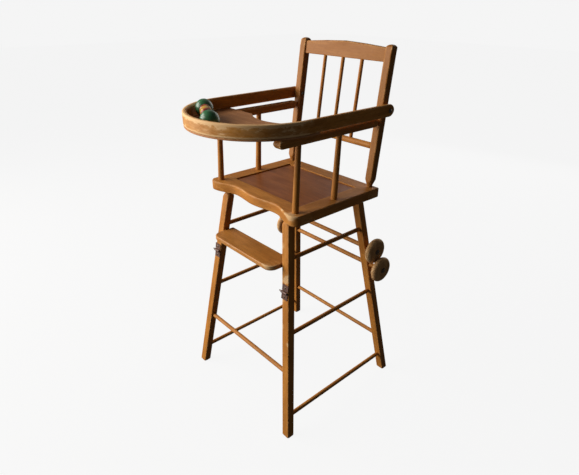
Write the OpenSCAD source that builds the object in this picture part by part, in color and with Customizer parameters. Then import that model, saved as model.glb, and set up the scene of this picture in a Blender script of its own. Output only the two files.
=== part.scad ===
// Wooden baby high chair that folds at mid height into a low chair on four wheels.
// Millimetres, +Z up, front of the chair towards -Y, the child's left towards +X.
// The origin is on the floor, under the middle of the chair's overall box.

/* [Stance] */
// Height of the seat's top face above the floor
seat_h = 584; // [500:1:700]
// Half the spacing of the leg centre lines at the floor, side to side
foot_x = 196; // [170:1:250]
// Half the spacing of the leg centre lines at the floor, front to back
foot_y = 191; // [165:1:240]
// Half the spacing of the leg centre lines under the seat, side to side
head_x = 114; // [105:1:120]
// Half the spacing of the leg centre lines under the seat, front to back
head_y = 113; // [108:1:116]
// Leg width, side to side
leg_w = 23; // [19:0.5:26]
// Leg depth, front to back
leg_d = 20; // [18:0.5:24]
// Height of the fold line, where the upper legs stand on the lower legs
split_h = 392; // [340:1:420]

/* [Stretchers and axles] */
// Diameter of the round stretchers
bar_d = 11; // [8:0.5:13]
// How far each stretcher enters its leg
bar_tenon = 12; // [8:0.5:14]
// Height of the two bottom side stretchers
low_side_h = 54; // [40:1:90]
// Height of the two side stretchers in the middle of the lower base
mid_side_h = 279; // [240:1:310]
// Height of the two side stretchers under the seat
upper_side_h = 466; // [462:1:500]
// Height of the lower front stretcher
front_bar_h = 175; // [130:1:220]
// Height of the lower rear stretcher
rear_bar_h = 122; // [90:1:220]
// Diameter of the two wheel axles
axle_d = 12; // [10:0.5:13]
// Height of the upper axle above the fold line
axle_rise = 21; // [16:0.5:26]
// Depth of the lower axle below the fold line
axle_drop = 29; // [20:0.5:36]

/* [Wheels] */
// Wheel diameter
wheel_d = 68; // [50:1:76]
// Wheel thickness
wheel_t = 17; // [12:0.5:18]
// Middle of each upper wheel from the chair's centre plane
upper_wheel_x = 172; // [170:0.5:176]
// Gap between the planes of the upper and lower wheels
wheel_pass = 2; // [1.5:0.5:4]
// Diameter of the axle ends that the wheels turn on
journal_d = 9; // [7:0.5:9.5]

/* [Seat] */
// Half the seat's width
seat_x = 163; // [158:1:172]
// Half the seat's depth
seat_y = 138; // [134:1:150]
// Thickness of the seat frame
seat_t = 24; // [20:1:30]
// Half the width of the panel opening
panel_x = 122; // [118:1:126]
// Front edge of the panel opening, ahead of the seat's middle
panel_front = 86; // [70:1:90]
// Rear edge of the panel opening, behind the seat's middle
panel_rear = 98; // [80:1:100]
// Thickness of the plywood panel
panel_t = 6; // [4:0.5:8]
// How far the panel's face lies below the frame
panel_recess = 3; // [1:0.5:4]
// Width of the ledge that carries the panel
panel_ledge = 10; // [6:1:12]
// Radius of the seat's front corners
corner_r = 18; // [8:1:22]
// Depth of the two hollows in the front edge, behind the corners
bow_hollow = 19; // [8:1:24]
// Depth of the middle of the front edge, behind the corners
bow_middle = 11; // [4:1:16]

/* [Back] */
// Height of the post tops above the seat
post_h = 316; // [260:1:380]
// Post width, side to side
post_w = 20; // [17:0.5:20]
// Post depth, front to back
post_d = 20; // [18:0.5:23]
// Post centre at the seat, from the chair's centre plane
post_x = 142; // [140:0.5:142]
// Post centre at the seat, behind the seat's middle
post_y = 126; // [124:0.5:128]
// How far each post leans in towards its top
post_lean = 4.5; // [4:0.5:8]
// How far each post rakes back towards its top
post_rake = 43; // [20:1:60]
// Height of the crest rail's underside above the seat
crest_z = 280; // [230:1:300]
// Height of the crest rail at its ends
crest_end = 29; // [20:1:32]
// Extra height of the crest rail at its middle
crest_peak = 7; // [2:0.5:10]
// Thickness of the crest rail
crest_t = 12; // [10:0.5:14]
// Height of the lower back rail above the seat
rail_z = 96; // [70:1:120]
// Diameter of the lower back rail
rail_d = 15; // [13:0.5:17]
// Diameter of the back spindles
spindle_d = 9; // [7:0.5:10]
// Spacing of the back spindles
spindle_pitch = 60; // [40:1:64]

/* [Armrests] */
// Height of the armrest's top face above the seat
arm_top = 163.7; // [150:0.1:175]
// Armrest width
arm_w = 21; // [17:0.5:21]
// Armrest height
arm_h = 18; // [16:0.5:20]
// Front end of the armrest, ahead of the seat's middle
arm_front = 165; // [140:1:175]
// Distance from the centre plane to the middle of each armrest
arm_x = 139.8; // [139:0.1:140.5]
// Arm spindle diameter at the seat
arm_spindle_d = 15; // [12:0.5:15]
// Arm spindle diameter at the armrest
arm_spindle_top_d = 12.5; // [10:0.5:12.5]
// Front arm spindle at the seat, ahead of the seat's middle
spindle_front = 117; // [112:1:119]
// Rear arm spindle at the seat, behind the seat's middle
spindle_rear = 2; // [0:1:20]
// How far the arm spindles rake back towards the armrest
spindle_rake = 8; // [0:1:10]

/* [Tray] */
// How far the tray reaches ahead of the seat's middle
tray_front = 260; // [240:1:290]
// Outer radius of the tray's bend
tray_r = 161; // [160:0.5:163]
// Half the tray's width over the pivots
tray_x = 164.5; // [164:0.5:167]
// Thickness of the tray's bent rim
rim_t = 9.5; // [8:0.5:10]
// Height of the rim
rim_h = 28; // [24:1:34]
// Thickness of the tray's board
board_t = 3.5; // [3:0.5:5]
// Gap between the resting tray and the armrests
tray_gap = 0.3; // [0.2:0.1:0.6]
// Rear edge of the board at the arms, ahead of the seat's middle
board_rear = 66; // [50:1:80]
// Half the width of the board's cut-out
cutout_x = 66; // [50:1:90]
// Depth of the board's cut-out
cutout_deep = 24; // [12:1:30]

/* [Beads] */
// Diameter of the bead rod
rod_d = 4; // [3:0.5:5]
// Angle of the rod across the tray's corner
rod_turn = 27; // [20:1:35]
// Distance from the centre of the tray's bend to the rod
rod_out = 110; // [104:1:112]
// Diameter of the two ball beads
ball_d = 40; // [34:1:42]
// Diameter of the flat beads
disc_d = 26; // [20:1:30]
// Distance between the ball beads along the rod
ball_span = 120; // [112:1:124]

/* [Footrest] */
// Height of the footrest's pivots above the floor
foot_h = 450; // [440:1:452]
// Thickness of the footrest board
foot_t = 12; // [8:0.5:13]
// Front edge of the footrest, ahead of the pivots
foot_front = 44; // [30:1:60]
// Rear edge of the footrest, behind the pivots
foot_rear = 21; // [14:1:26]
// Clearance between the board's ends and the legs at the pivot height
foot_gap = 2; // [1.5:0.5:4]
// Radius of the footrest's front corners
foot_r = 22; // [8:1:28]

/* [Hinges and screws] */
// Hinge leaf width
leaf_w = 20; // [16:0.5:22]
// Hinge leaf height, from the pin's centre
leaf_h = 19; // [14:0.5:24]
// Hinge leaf thickness
leaf_t = 1.5; // [1:0.1:2]
// Radius of the hinge barrel
barrel_r = 3.2; // [2.8:0.1:4]
// Diameter of the hinge pin
pin_d = 3; // [2.5:0.1:3.4]
// How far each pin sticks out of its barrel
pin_tip = 6; // [2:0.5:8]
// Radial clearance of everything that turns on a pin, screw or axle
run_gap = 0.05; // [0.03:0.01:0.1]
// Side clearance of everything that turns
side_gap = 0.4; // [0.3:0.1:0.6]

/* [Hidden] */
$fn = 64;
left = 1;
right = -1;
front = -1;
rear = 1;

// Wood colours
honey = "#B06E28";
brown = "#7A4A1E";
panel_red = "#5A3018";
bare = "#B89A68";
steel = "#A8A49A";
hinge_paint = "#6A3E36";

// Legs: each is a straight run from the floor to the seat, cut through at the fold line
seat_under = seat_h - seat_t;
function leg_x(z) = foot_x + (head_x - foot_x) * z / seat_under;
function leg_y(z) = foot_y + (head_y - foot_y) * z / seat_under;
face_slope = atan((foot_y - head_y) / seat_under);
reach = 3 * (foot_x + foot_y);
leg_tenon_r = 7;
leg_point = 14;
tenon_deep = 15;

// Axles lie through the rear legs, the upper wheels inside the lower ones
upper_axle_z = split_h + axle_rise;
lower_axle_z = split_h - axle_drop;
lower_wheel_x = upper_wheel_x + wheel_t + wheel_pass;
washer_r = 7;
washer_t = 1.2;
// Keeps hardware that touches in separate solids
apart = 0.05;
wheel_screw_r = 2;
wheel_screw_len = 16;

// Seat frame
ledge_top = seat_h - panel_recess - panel_t;
panel_gap = 0.3;
rail_tongue = [26, 12, 8];
rail_tongue_x = (panel_x + seat_x) / 2;
rail_tongue_z = seat_under + seat_t / 2 - rail_tongue[2] / 2 - 1;

// Posts
post_top = seat_h + post_h;
post_tenon_r = 7;
post_point = 16;
dome_rise = 7;
function post_cx(z) = post_x - post_lean * (z - seat_h) / post_h;
function post_cy(z) = post_y + post_rake * (z - seat_h) / post_h;
rake_angle = atan(post_rake / post_h);
crest_tongue = 8;
rail_tenon_r = 5;
rail_tenon_len = 10;
spindle_plug = 8;

// Armrests
arm_z = seat_h + arm_top - arm_h / 2;
arm_point = 17;
arm_tenon_r = 5.5;
arm_tenon_len = 10;
seat_plug_r = 5.5;
arm_plug_r = 4.5;
arm_plug = 10;
spindle_x = arm_x + 1;
spindle_tilt = atan(spindle_rake / (arm_top - arm_h));

// Tray: the rim's plan is half a circle with two straight arms that spread a little
board_z = seat_h + arm_top + tray_gap;
rim_z = board_z + board_t;
pivot_z = rim_z + rim_h / 2;
pivot_y = post_cy(pivot_z);
bend_y = tray_r - tray_front;
arm_end_y = pivot_y + rim_h / 2;
rim_spread = (tray_x - tray_r) / (arm_end_y - bend_y);
arm_inner_x = tray_x - rim_t - rim_spread * rim_h / 2;
bolt_r = 2.5;
bolt_head_r = 5.5;
bolt_head_h = 3;
nut_r = 4.6;
nut_t = 3.2;
spacer_t = arm_inner_x - post_cx(pivot_z) - post_w / 2 - 2 * 0.25;
spacer_r = 6;

// Beads, told by their distance along the rod from its middle
rod_z = rim_z + ball_d / 2 + 0.5;
rod_half = sqrt(pow(tray_r - rim_t, 2) - pow(rod_out, 2));
rod_sink = 7;
disc_ts = [13, 26, 13];
disc_play = 0.5;
disc_start = ball_d / 2 + disc_play - ball_span / 2;
function disc_mid(i) = disc_start + (i + 0.5) * disc_play + disc_ts[i] / 2
    + (i > 0 ? disc_ts[0] + disc_play / 2 : 0) + (i > 1 ? disc_ts[1] + disc_play / 2 : 0);

// Footrest
foot_x_half = floor(10 * (leg_x(foot_h + foot_t / 2) - leg_w / 2 - foot_gap / 2)) / 10;
foot_y_mid = -leg_y(foot_h);
foot_screw_r = 2;
foot_screw_grip = 16;
foot_head_r = 3.4;
foot_head_sink = 3.5;

// Hinges: the pin lies ahead of the front legs' faces, at the height of the fold line
hinge_x = leg_x(split_h);
hinge_y = -(leg_y(split_h) + leg_d / 2 + (barrel_r + 0.05) / cos(face_slope));
knuckle = leaf_w / 3;
hinge_screw_r = 1.5;
hinge_screw_len = 12;
hinge_head_r = 3;
hinge_head_h = 1.2;
hinge_screw_at = leaf_h * 0.6;

// The overall box's middle goes over the origin
rear_reach = max(foot_y + leg_d / 2, post_cy(post_top) + post_d / 2);
centre_shift = (tray_front - rear_reach) / 2;

// ---- helpers ----

// What is drawn for the left goes to the right when asked
module on_side(side) {
    if (side == left) children();
    else mirror([1, 0, 0]) children();
}

// What is drawn for the rear goes to the front when asked
module on_end(end) {
    if (end == rear) children();
    else mirror([0, 1, 0]) children();
}

// A profile drawn in (y, z), drawn out along X
module along_x(len) {
    rotate([90, 0, 90]) linear_extrude(len, center = true) children();
}

// A profile drawn in (x, z), drawn out along Y
module along_y(len) {
    rotate([90, 0, 0]) linear_extrude(len, center = true) children();
}

// Round bar along X between two distances from the centre plane
module bar_x(r, x0, x1, y, z) {
    translate([x0, y, z]) rotate([0, 90, 0]) cylinder(h = x1 - x0, r = r);
}

// Round bar along Y, from y0 to y1
module bar_y(r, y0, y1, x, z) {
    translate([x, y1, z]) rotate([90, 0, 0]) cylinder(h = y1 - y0, r = r);
}

// Dome-headed screw whose head sits on z = 0 and whose shank runs down
module dome_screw(shank_r, shank_len, head_r, head_h) {
    translate([0, 0, -shank_len]) cylinder(h = shank_len + 0.1, r = shank_r);
    dome(head_r, head_h);
}

// Flat ring that stands on z = 0; sides of 6 makes a hexagon nut
module washer(r, t, hole_r, sides = $fn) {
    difference() {
        cylinder(h = t, r = r, $fn = sides);
        translate([0, 0, -1]) cylinder(h = t + 2, r = hole_r);
    }
}

// Shallow dome on z = 0
module dome(r, h) {
    ball = (r * r + h * h) / (2 * h);
    intersection() {
        translate([0, 0, h - ball]) sphere(r = ball, $fn = 96);
        cylinder(h = h + 1, r = r + 1);
    }
}

// ---- legs ----

// A left rear leg between two heights, cut level at both ends
module leg_run(z0, z1) {
    ends = [[z0, -1], [z0, 1], [z1, 1], [z1, -1]];
    intersection() {
        along_x(reach) polygon([for (e = ends) [leg_y(e[0]) + e[1] * leg_d / 2, e[0]]]);
        along_y(reach) polygon([for (e = ends) [leg_x(e[0]) + e[1] * leg_w / 2, e[0]]]);
    }
}

// The same leg with a sharpened top and a round tenon, up to the seat
module pointed_leg() {
    point_z = seat_under - leg_point;
    top_x = leg_x(seat_under);
    top_y = leg_y(seat_under);
    leg_run(split_h, point_z);
    intersection() {
        leg_run(point_z, seat_under);
        translate([top_x, top_y, point_z])
            cylinder(h = leg_point, r1 = leg_w / 2 + leg_d / 2, r2 = leg_tenon_r);
    }
    translate([top_x, top_y, seat_under]) cylinder(h = tenon_deep, r = leg_tenon_r);
}

// Side stretcher, tenons included
module side_bar(side, z) {
    half = leg_y(z) - leg_d / 2 + bar_tenon;
    bar_y(bar_d / 2, -half, half, side * leg_x(z), z);
}

// Front or rear stretcher, tenons included
module cross_bar(end, z) {
    half = leg_x(z) - leg_w / 2 + bar_tenon;
    bar_x(bar_d / 2, -half, half, end * leg_y(z), z);
}

module upper_leg(side, end) {
    color(honey) difference() {
        on_side(side) on_end(end) pointed_leg();
        side_bar(side, upper_side_h);
        if (end == rear) axle_core(upper_axle_z);
        if (end == front) {
            hinge_screw(side, 1, hinge_screw_r);
            footrest_screw_space(side);
        }
    }
}

module lower_leg(side, end) {
    color(honey) difference() {
        on_side(side) on_end(end) leg_run(0, split_h);
        side_bar(side, mid_side_h);
        side_bar(side, low_side_h);
        cross_bar(end, end == front ? front_bar_h : rear_bar_h);
        if (end == rear) axle_core(lower_axle_z);
        if (end == front) hinge_screw(side, -1, hinge_screw_r);
    }
}

// ---- axles and wheels ----

// The thick part of an axle, which passes through both rear legs
module axle_core(z) {
    half = (z > split_h ? upper_wheel_x : lower_wheel_x) - wheel_t / 2 - side_gap;
    bar_x(axle_d / 2, -half, half, leg_y(z), z);
}

module axle(z) {
    half = (z > split_h ? upper_wheel_x : lower_wheel_x) + wheel_t / 2 + side_gap;
    color(brown) difference() {
        union() {
            axle_core(z);
            bar_x(journal_d / 2, -half, half, leg_y(z), z);
        }
        for (side = [left, right]) wheel_screw(side, z);
    }
}

// Screw in an axle's end, with its head outside the washer
module wheel_screw(side, z) {
    end_x = (z > split_h ? upper_wheel_x : lower_wheel_x) + wheel_t / 2 + side_gap;
    on_side(side) translate([end_x + washer_t, leg_y(z), z]) rotate([0, 90, 0])
        dome_screw(wheel_screw_r, wheel_screw_len, 4, 2.2);
}

// Screw and washer at each end of an axle
module wheel_fixings(z) {
    end_x = (z > split_h ? upper_wheel_x : lower_wheel_x) + wheel_t / 2 + side_gap;
    color(steel) for (side = [left, right]) {
        wheel_screw(side, z);
        on_side(side) translate([end_x + apart, leg_y(z), z]) rotate([0, 90, 0])
            washer(washer_r, washer_t - 2 * apart, wheel_screw_r + apart);
    }
}

// Turned wheel: full round tread, and a ring groove in each face
module wheel(side, x, z) {
    tread = wheel_t / 2;
    groove_r = wheel_d * 0.2;
    color(bare) translate([side * x, leg_y(z), z]) rotate([0, 90, 0]) difference() {
        rotate_extrude($fn = 128) difference() {
            union() {
                translate([0, -tread]) square([wheel_d / 2 - tread, wheel_t]);
                translate([wheel_d / 2 - tread, 0]) intersection() {
                    circle(r = tread);
                    translate([0, -tread]) square([tread, wheel_t]);
                }
            }
            for (face = [-1, 1]) translate([groove_r, face * tread]) circle(r = 1.2, $fn = 24);
        }
        cylinder(h = wheel_t + 2, r = journal_d / 2 + run_gap, center = true);
    }
}

// ---- seat ----

// Distance of the front edge behind the corners' tips, at x from the middle
function bow(x) =
    let (hollow_x = (seat_x - corner_r) * 0.5)
    x < hollow_x
        ? bow_hollow + (bow_middle - bow_hollow) * (1 + cos(180 * x / hollow_x)) / 2
        : bow_hollow * (1 + cos(180 * (x - hollow_x) / (seat_x - corner_r - hollow_x))) / 2;

// The front rail's outline, with its double-curved front edge and round corners
function front_outline() =
    let (flat = seat_x - corner_r, steps = 32)
    concat(
        [[seat_x, -panel_front]],
        [for (a = [0:10:80]) [flat + corner_r * cos(a), -(seat_y - corner_r) - corner_r * sin(a)]],
        [for (i = [steps:-1:-steps]) [i * flat / steps, bow(abs(i) * flat / steps) - seat_y]],
        [for (a = [80:-10:0]) [-flat - corner_r * cos(a), -(seat_y - corner_r) - corner_r * sin(a)]],
        [[-seat_x, -panel_front]]
    );

// Tongues of a side rail, at both of its ends
module rail_tongues(side) {
    for (y = [-panel_front - rail_tongue[1], panel_rear])
        translate([side * rail_tongue_x - rail_tongue[0] / 2, y, rail_tongue_z]) cube(rail_tongue);
}

// Ledge strip that carries the panel, drawn as a ring under the opening
module ledge_ring() {
    translate([0, 0, seat_under]) linear_extrude(ledge_top - seat_under) difference() {
        opening(0);
        opening(panel_ledge);
    }
}

// The panel opening in plan, smaller all round by inset
module opening(inset) {
    translate([-panel_x + inset, -panel_front + inset])
        square([2 * (panel_x - inset), panel_front + panel_rear - 2 * inset]);
}

// Everything that plugs into the seat frame from below and above
module seat_sockets() {
    for (side = [left, right]) on_side(side) {
        for (end = [front, rear])
            translate([leg_x(seat_under), end * leg_y(seat_under), seat_under - 1])
                cylinder(h = tenon_deep + 1, r = leg_tenon_r);
        translate([post_x, post_y, seat_h - tenon_deep]) cylinder(h = tenon_deep + 1, r = post_tenon_r);
        for (y = [-spindle_front, spindle_rear])
            translate([spindle_x, y, seat_h - tenon_deep]) cylinder(h = tenon_deep + 1, r = seat_plug_r);
    }
}

module seat_front_rail() {
    color(honey) difference() {
        union() {
            translate([0, 0, seat_under]) linear_extrude(seat_t) polygon(front_outline());
            intersection() {
                ledge_ring();
                translate([-panel_x, -panel_front, 0]) cube([2 * panel_x, panel_ledge, seat_h]);
            }
        }
        seat_sockets();
        for (side = [left, right]) rail_tongues(side);
    }
}

module seat_back_rail() {
    color(honey) difference() {
        union() {
            translate([-seat_x, panel_rear, seat_under]) cube([2 * seat_x, seat_y - panel_rear, seat_t]);
            intersection() {
                ledge_ring();
                translate([-panel_x, panel_rear - panel_ledge, 0])
                    cube([2 * panel_x, panel_ledge, seat_h]);
            }
        }
        seat_sockets();
        for (side = [left, right]) rail_tongues(side);
    }
}

module seat_side_rail(side) {
    color(honey) difference() {
        union() {
            on_side(side) translate([panel_x, -panel_front, seat_under])
                cube([seat_x - panel_x, panel_front + panel_rear, seat_t]);
            rail_tongues(side);
            on_side(side) intersection() {
                ledge_ring();
                translate([panel_x - panel_ledge, panel_ledge - panel_front, 0])
                    cube([panel_ledge, panel_front + panel_rear - 2 * panel_ledge, seat_h]);
            }
        }
        seat_sockets();
    }
}

module seat_panel() {
    color(panel_red) translate([0, 0, ledge_top]) linear_extrude(panel_t) opening(panel_gap);
}

// ---- back ----

// A left post's straight run from the seat up, with a domed top
module post_run() {
    steps = 8;
    intersection() {
        along_x(reach) polygon(concat(
            [[post_y - post_d / 2, seat_h], [post_y + post_d / 2, seat_h]],
            [for (i = [0:steps]) dome_point(180 * i / steps, post_cy(post_top), post_d)]));
        along_y(reach) polygon(concat(
            [[post_x - post_w / 2, seat_h], [post_x + post_w / 2, seat_h]],
            [for (i = [0:steps]) dome_point(180 * i / steps, post_cx(post_top), post_w)]));
    }
}

// A point of the half ellipse that rounds a post's top, at angle a
function dome_point(a, middle, width) =
    [middle + width / 2 * cos(a), post_top - dome_rise * (1 - sin(a))];

// The left post with its sharpened foot and tenon, before its holes
module post_blank() {
    point_z = seat_h + post_point;
    intersection() {
        post_run();
        union() {
            translate([post_cx(point_z), post_cy(point_z), seat_h])
                cylinder(h = post_point, r1 = post_tenon_r, r2 = post_w / 2 + post_d / 2);
            translate([0, 0, point_z]) cube(reach);
        }
    }
    translate([post_x, post_y, seat_h - tenon_deep])
        cylinder(h = tenon_deep + 2, r = post_tenon_r);
}

module back_post(side) {
    color(honey) difference() {
        on_side(side) post_blank();
        crest_body(crest_tongue);
        lower_back_rail_body();
        armrest_tenon(side);
        on_side(side) bar_x(bolt_r, 0, reach, pivot_y, pivot_z);
    }
}

// The crest rail, as wide as the gap between the posts, with a tongue at each end
module crest_body(tongue) {
    z0 = seat_h + crest_z;
    z_end = z0 + crest_end;
    half = post_cx(z0) - post_w / 2;
    half_end = post_cx(z_end) - post_w / 2;
    intersection() {
        rake_slab(crest_t);
        along_y(reach) polygon([[-half, z0], [half, z0], [half_end, z_end],
            [half / 2, z_end + crest_peak * 0.62], [0, z_end + crest_peak],
            [-half / 2, z_end + crest_peak * 0.62], [-half_end, z_end]]);
    }
    intersection() {
        rake_slab(crest_t - 4);
        along_y(reach) polygon([[-half - tongue, z0 + 5], [half + tongue, z0 + 5],
            [half_end + tongue, z_end - 8], [-half_end - tongue, z_end - 8]]);
    }
}

// A slab that leans back with the posts, centred on their centre lines
module rake_slab(t) {
    z0 = seat_h;
    z1 = post_top + 20;
    along_x(reach) polygon([[post_cy(z0) - t / 2, z0], [post_cy(z0) + t / 2, z0],
        [post_cy(z1) + t / 2, z1], [post_cy(z1) - t / 2, z1]]);
}

module crest_rail() {
    color(honey) difference() {
        crest_body(crest_tongue);
        for (i = [-1:1]) back_spindle_body(i);
    }
}

// Lower rail: a round bar with a smaller tenon at each end
module lower_back_rail_body() {
    z = seat_h + rail_z;
    half = post_cx(z) - post_w / 2;
    bar_x(rail_d / 2, -half - 0.5, half + 0.5, post_cy(z), z);
    bar_x(rail_tenon_r, -half - rail_tenon_len, half + rail_tenon_len, post_cy(z), z);
}

module lower_back_rail() {
    color(honey) difference() {
        lower_back_rail_body();
        for (i = [-1:1]) back_spindle_body(i);
    }
}

// Back spindle i of -1, 0 and 1, plugged into the lower rail and the crest rail
module back_spindle_body(i) {
    z0 = seat_h + rail_z + rail_d / 2 - spindle_plug;
    z1 = seat_h + crest_z + spindle_plug;
    translate([i * spindle_pitch, post_cy(z0), z0]) rotate([-rake_angle, 0, 0])
        cylinder(h = (z1 - z0) / cos(rake_angle), r = spindle_d / 2);
}

module back_spindle(i) {
    color(honey) back_spindle_body(i);
}

// ---- armrests ----

// Front face of the posts at the armrest's height
arm_back_y = post_cy(arm_z) - post_d / 2;

// Round tenon that fixes the armrest in its post
module armrest_tenon(side) {
    bar_y(arm_tenon_r, arm_back_y - arm_point / 2, arm_back_y + arm_tenon_len, side * arm_x, arm_z);
}

module armrest(side) {
    nose = arm_h / 2;
    straight = arm_back_y - arm_point;
    color(honey) difference() {
        union() {
            translate([side * arm_x, 0, 0]) along_x(arm_w) {
                translate([nose - arm_front, arm_z]) circle(r = nose);
                translate([nose - arm_front, arm_z - nose]) square([straight + arm_front - nose, arm_h]);
            }
            intersection() {
                translate([side * arm_x - arm_w / 2, straight, arm_z - nose])
                    cube([arm_w, arm_point, arm_h]);
                translate([side * arm_x, straight, arm_z]) rotate([-90, 0, 0])
                    cylinder(h = arm_point - 2, r1 = arm_w / 2 + arm_h / 2 - 4, r2 = arm_tenon_r);
            }
            armrest_tenon(side);
        }
        for (y = [-spindle_front, spindle_rear]) arm_spindle_body(side, y);
    }
}

// Tapered arm spindle that leans back, with a plug at each end
module arm_spindle_body(side, y) {
    run = arm_top - arm_h;
    arm_y = y + spindle_rake;
    intersection() {
        translate([side * spindle_x, y, seat_h]) rotate([-spindle_tilt, 0, 0])
            translate([0, 0, -5])
            cylinder(h = run + 10, d1 = arm_spindle_d, d2 = arm_spindle_top_d);
        translate([-reach, -reach, seat_h]) cube([2 * reach, 2 * reach, run]);
    }
    translate([side * spindle_x, y, seat_h - tenon_deep]) cylinder(h = tenon_deep + 3, r = seat_plug_r);
    translate([side * spindle_x, arm_y, seat_h + run - 3]) cylinder(h = arm_plug + 3, r = arm_plug_r);
}

module arm_spindle(side, y) {
    color(honey) arm_spindle_body(side, y);
}

// ---- tray ----

// The rim's outline moved inwards by inset, with arms that run on to the rear
module rim_plan(inset, extra) {
    r = tray_r - inset;
    end_x = tray_x - inset + extra * rim_spread;
    intersection() {
        translate([0, bend_y]) circle(r = r, $fn = 128);
        translate([-reach, bend_y - reach]) square([2 * reach, reach]);
    }
    polygon([[r, bend_y], [end_x, arm_end_y + extra], [-end_x, arm_end_y + extra],
        [-r, bend_y], [0, bend_y - r / 4]]);
}

module tray_rim() {
    color(honey) difference() {
        intersection() {
            translate([0, 0, rim_z]) linear_extrude(rim_h) difference() {
                rim_plan(0, 0);
                rim_plan(rim_t, 10);
            }
            along_x(reach) {
                translate([pivot_y, pivot_z]) circle(r = rim_h / 2);
                translate([-reach, rim_z]) square([reach + pivot_y, rim_h]);
            }
        }
        for (side = [left, right])
            on_side(side) bar_x(bolt_r + run_gap, 0, reach, pivot_y, pivot_z);
        bead_rod_body();
    }
}

// The board's plan: the rim's outline ahead of its rear edge, less the rounded cut-out
module board_plan() {
    arc_r = (pow(cutout_x, 2) + pow(cutout_deep, 2)) / (2 * cutout_deep);
    difference() {
        intersection() {
            rim_plan(0, 0);
            translate([-reach, -board_rear - reach]) square([2 * reach, reach]);
        }
        translate([0, arc_r - board_rear - cutout_deep]) circle(r = arc_r, $fn = 128);
    }
}

module tray_board() {
    color(panel_red) translate([0, 0, board_z]) linear_extrude(board_t) board_plan();
}

// Bolt through each arm and post, with a spacer in the gap and a nut inside
module tray_pivot_bolts() {
    head_x = tray_x + 0.2;
    inner_x = post_cx(pivot_z) - post_w / 2;
    outer_x = post_cx(pivot_z) + post_w / 2;
    color(steel) for (side = [left, right]) on_side(side) {
        translate([head_x, pivot_y, pivot_z]) rotate([0, 90, 0])
            dome_screw(bolt_r, head_x - inner_x + nut_t + 1.8, bolt_head_r, bolt_head_h);
        translate([inner_x - nut_t - 0.4, pivot_y, pivot_z]) rotate([0, 90, 0])
            washer(nut_r, nut_t, bolt_r + apart, 6);
        translate([outer_x + 0.2, pivot_y, pivot_z]) rotate([0, 90, 0])
            washer(spacer_r, spacer_t, bolt_r + apart);
    }
}

// ---- beads ----

// Draws its children on the rod, whose own axis becomes Z, at a distance along it
module on_rod(along) {
    translate([-rod_out * sin(rod_turn), bend_y - rod_out * cos(rod_turn), rod_z])
        rotate([0, 90, -rod_turn]) translate([0, 0, along]) children();
}

module bead_rod_body() {
    on_rod(-rod_half - rod_sink) cylinder(h = 2 * (rod_half + rod_sink), r = rod_d / 2);
}

module bead_rod() {
    color(steel) bead_rod_body();
}

module bead_ball(end) {
    color("#1F5B38") on_rod(end * ball_span / 2) difference() {
        sphere(r = ball_d / 2, $fn = 96);
        cylinder(h = ball_d + 2, r = rod_d / 2 + run_gap, center = true);
    }
}

// Flat bead i of 0 to 2, its edges rounded over
module bead_disc(i) {
    t = disc_ts[i];
    edge = 4;
    color(i == 1 ? "#C8992E" : "#8A2A1E") on_rod(disc_mid(i)) difference() {
        rotate_extrude() {
            translate([0, -t / 2]) square([disc_d / 2 - edge, t]);
            square_edge = t - 2 * edge;
            translate([0, -square_edge / 2]) square([disc_d / 2, square_edge]);
            for (s = [-1, 1]) translate([disc_d / 2 - edge, s * square_edge / 2]) circle(r = edge);
        }
        cylinder(h = t + 2, r = rod_d / 2 + run_gap, center = true);
    }
}

// ---- footrest ----

module footrest_board() {
    y_front = foot_y_mid - foot_front;
    color(brown) difference() {
        translate([0, 0, foot_h - foot_t / 2]) linear_extrude(foot_t) {
            translate([-foot_x_half, y_front + foot_r])
                square([2 * foot_x_half, foot_front + foot_rear - foot_r]);
            translate([-foot_x_half + foot_r, y_front]) square([2 * (foot_x_half - foot_r), foot_front]);
            for (side = [left, right])
                translate([side * (foot_x_half - foot_r), y_front + foot_r]) circle(r = foot_r);
        }
        for (side = [left, right]) footrest_screw(side, foot_screw_r + run_gap);
    }
}

// Screw through a front leg into the end of the footrest, its head sunk in the leg
module footrest_screw(side, r) {
    head_x = leg_x(foot_h) + leg_w / 2 - foot_head_sink;
    grip_x = foot_x_half - foot_screw_grip;
    on_side(side) {
        bar_x(r, grip_x, head_x, foot_y_mid, foot_h);
        bar_x(foot_head_r, head_x, head_x + 2, foot_y_mid, foot_h);
    }
}

module footrest_screw_space(side) {
    head_x = leg_x(foot_h) + leg_w / 2 - foot_head_sink;
    footrest_screw(side, foot_screw_r);
    on_side(side) bar_x(foot_head_r, head_x, head_x + 10, foot_y_mid, foot_h);
}

module footrest_screws() {
    color(steel) for (side = [left, right]) footrest_screw(side, foot_screw_r);
}

// ---- hinges ----

// Draws its children about the pin, the leg's front face upright behind it
module at_hinge(side) {
    translate([side * hinge_x, hinge_y, split_h]) rotate([-face_slope, 0, 0]) children();
}

// One leaf: up is 1 for the upper leaf with its single knuckle, -1 for the lower with two
module hinge_leaf(side, up) {
    face_y = barrel_r + 0.05;
    root = barrel_r + side_gap;
    half_gap = side_gap / 2;
    color(hinge_paint) difference() {
        at_hinge(side) union() {
            translate([-leaf_w / 2, face_y - leaf_t, up > 0 ? root : -leaf_h])
                cube([leaf_w, leaf_t, leaf_h - root]);
            for (i = up > 0 ? [0] : [-1, 1]) translate([i * knuckle, 0, 0]) {
                bar_x(barrel_r, half_gap - knuckle / 2, knuckle / 2 - half_gap, 0, 0);
                translate([half_gap - knuckle / 2, face_y - leaf_t, up > 0 ? 0 : -root - 0.01])
                    cube([knuckle - side_gap, leaf_t - 0.05, root + 0.01]);
            }
        }
        at_hinge(side) bar_x(pin_d / 2 + (up > 0 ? run_gap : 0), -leaf_w, leaf_w, 0, 0);
        hinge_screw(side, up, hinge_screw_r);
    }
}

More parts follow.
